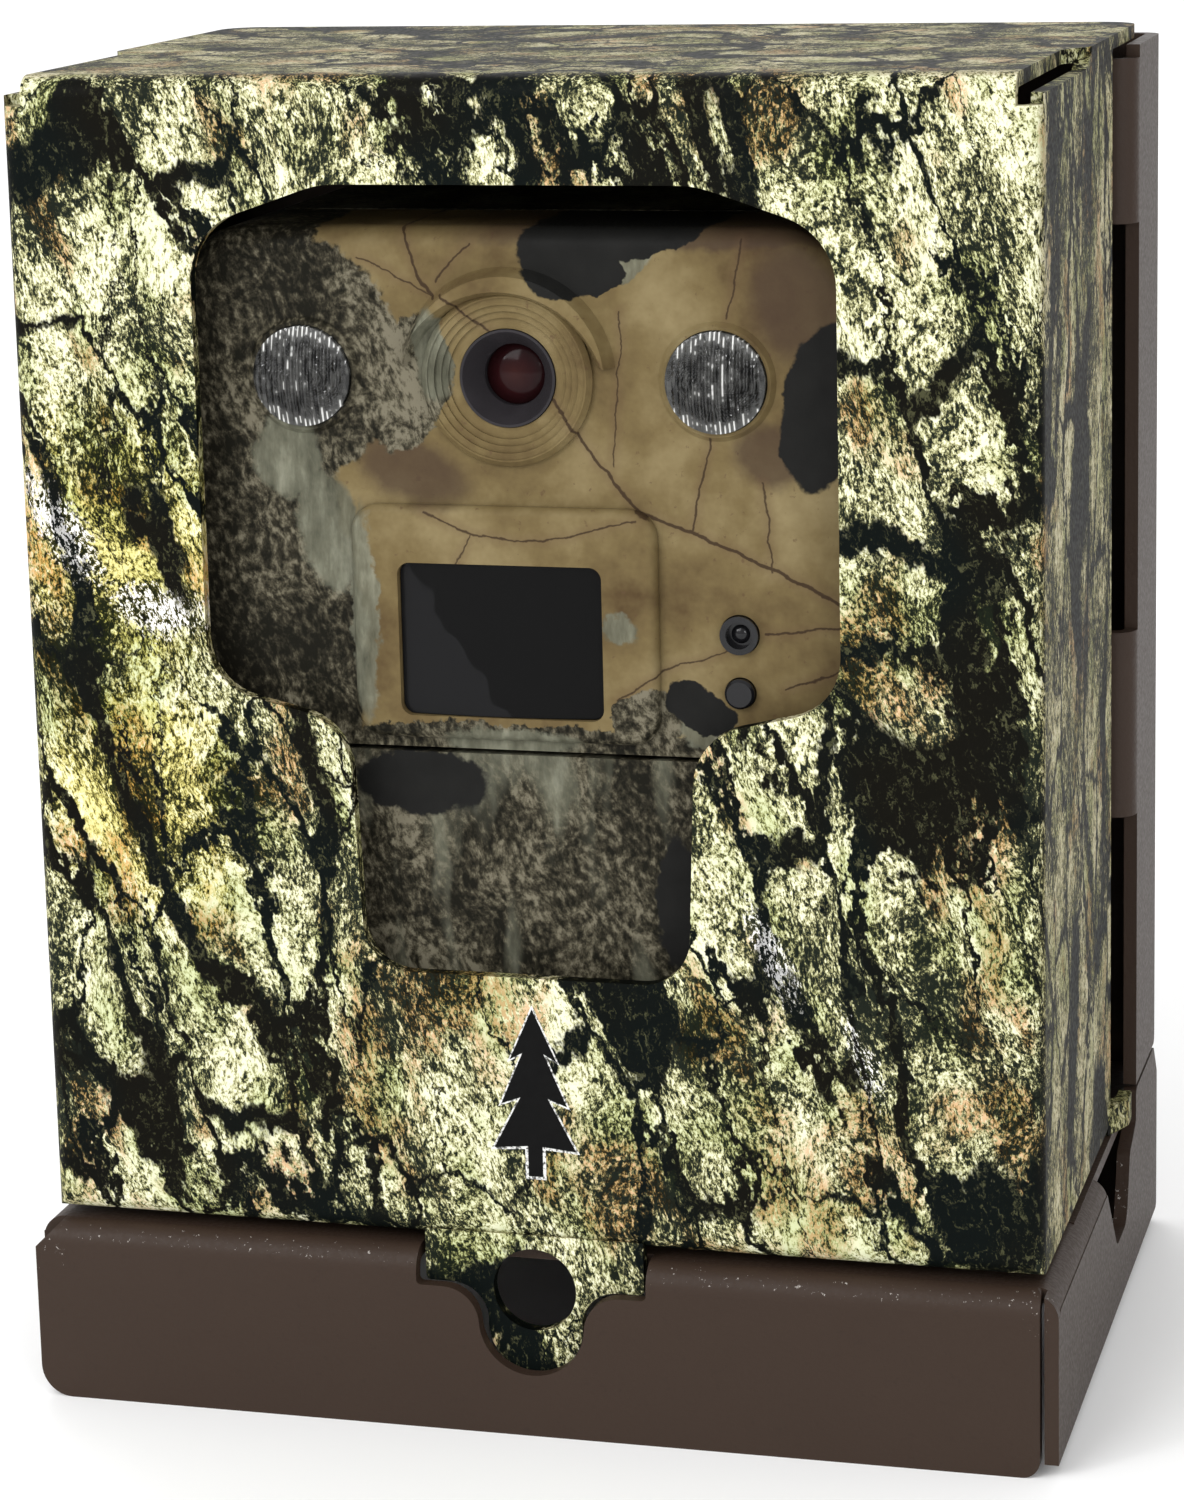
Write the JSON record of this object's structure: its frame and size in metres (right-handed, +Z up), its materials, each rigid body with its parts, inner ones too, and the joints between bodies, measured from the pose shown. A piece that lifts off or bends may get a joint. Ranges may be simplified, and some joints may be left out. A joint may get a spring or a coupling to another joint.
{
  "type": "trail camera in a steel security box",
  "caption": "Boxed trail camera: a folded steel lock box with a T-shaped window, a lift-off camouflaged cover with a padlock tab, and the camera inside",
  "frame": {"origin": "centre of the bounding box's bottom face", "axes": "+Z up, -Y the way the camera looks, +Y towards the tree, +X to the right seen from the front"},
  "size_m": [0.1282, 0.09, 0.1647],
  "materials": {
    "cover_camo": "satin",
    "box_brown": "satin",
    "camera_camo": "matte",
    "black_plastic": "matte",
    "black_gloss": "gloss",
    "clear_lens": "clear",
    "coated_glass": "clear",
    "reflector": "polished",
    "circuit_board": "satin",
    "black_rubber": "matte",
    "bright_steel": "satin",
    "brass": "satin",
    "cell_sleeve": "gloss",
    "screen_glass": "gloss",
    "button_grey": "satin"
  },
  "bodies": {
    "box_and_camera": {"back_shell": "box_brown", "base_tray": "box_brown", "front_housing": "camera_camo", "rear_housing": "camera_camo", "service_door": "camera_camo", "housing_gasket": "black_rubber", "housing_screws": "bright_steel", "door_hinge_pin": "bright_steel", "latch_pin": "bright_steel", "lens_barrel": "black_plastic", "front_lens": "coated_glass", "rear_lens": "coated_glass", "ir_lens_left": "clear_lens", "ir_lens_right": "clear_lens", "ir_reflector_left": "reflector", "ir_reflector_right": "reflector", "ir_led_left": "clear_lens", "ir_led_right": "clear_lens", "pir_window": "black_gloss", "pir_sensor": "bright_steel", "light_sensor": "black_gloss", "status_led": "black_gloss", "filter_frame": "black_plastic", "sensor_board": "circuit_board", "front_board": "circuit_board", "main_board": "circuit_board", "viewing_screen": "screen_glass", "keypad_board": "circuit_board", "card_reader": "bright_steel", "power_socket": "black_plastic", "rear_bracket": "black_plastic", "tripod_insert": "brass"},
    "cover": {"front_cover": "cover_camo"},
    "latch": {"door_latch": "black_plastic"},
    "battery_drawer": {"battery_tray": "black_plastic", "batteries": "cell_sleeve", "contacts_left": "brass", "contacts_right": "brass"},
    "filter": {"ir_cut_filter": "coated_glass"},
    "card": {"memory_card": "black_plastic"},
    "plug": {"power_plug": "black_rubber"},
    "eject": {"eject_button": "black_plastic"},
    "button_up_key": {"button_up": "button_grey"},
    "button_down_key": {"button_down": "button_grey"},
    "button_left_key": {"button_left": "button_grey"},
    "button_right_key": {"button_right": "button_grey"},
    "button_ok_key": {"button_ok": "button_grey"},
    "button_power_key": {"button_power": "button_grey"}
  },
  "joints": [
    {"name": "cover_lift", "type": "slide", "parent": "box_and_camera", "child": "cover", "axis": [0, 0, 1], "range_m": [0, 0.165]},
    {"name": "latch_swing", "type": "hinge", "parent": "box_and_camera", "child": "latch", "pos_m": [0.0427, -0.022, 0.056], "axis": [0, 0, 1], "range_deg": [0, 60]},
    {"name": "battery_drawer_slide", "type": "slide", "parent": "box_and_camera", "child": "battery_drawer", "axis": [-1, 0, 0], "range_m": [0, 0.016]},
    {"name": "filter_shift", "type": "slide", "parent": "box_and_camera", "child": "filter", "axis": [1, 0, 0], "range_m": [0, 0.013]},
    {"name": "card_slide", "type": "slide", "parent": "box_and_camera", "child": "card", "axis": [-1, 0, 0], "range_m": [0, 0.03]},
    {"name": "plug_pull", "type": "slide", "parent": "box_and_camera", "child": "plug", "axis": [-1, 0, 0], "range_m": [0, 0.012]},
    {"name": "eject_press", "type": "slide", "parent": "box_and_camera", "child": "eject", "axis": [1, 0, 0], "range_m": [0, 0.001], "stiffness_N_per_m": 900, "springref_m": -0.0005},
    {"name": "press_up", "type": "slide", "parent": "box_and_camera", "child": "button_up_key", "axis": [0, 1, 0], "range_m": [0, 0.0005], "stiffness_N_per_m": 1500, "springref_m": -0.0003},
    {"name": "press_down", "type": "slide", "parent": "box_and_camera", "child": "button_down_key", "axis": [0, 1, 0], "range_m": [0, 0.0005], "stiffness_N_per_m": 1500, "springref_m": -0.0003},
    {"name": "press_left", "type": "slide", "parent": "box_and_camera", "child": "button_left_key", "axis": [0, 1, 0], "range_m": [0, 0.0005], "stiffness_N_per_m": 1500, "springref_m": -0.0003},
    {"name": "press_right", "type": "slide", "parent": "box_and_camera", "child": "button_right_key", "axis": [0, 1, 0], "range_m": [0, 0.0005], "stiffness_N_per_m": 1500, "springref_m": -0.0003},
    {"name": "press_ok", "type": "slide", "parent": "box_and_camera", "child": "button_ok_key", "axis": [0, 1, 0], "range_m": [0, 0.0005], "stiffness_N_per_m": 1500, "springref_m": -0.0003},
    {"name": "press_power", "type": "slide", "parent": "box_and_camera", "child": "button_power_key", "axis": [0, 1, 0], "range_m": [0, 0.0005], "stiffness_N_per_m": 1500, "springref_m": -0.0003}
  ]
}
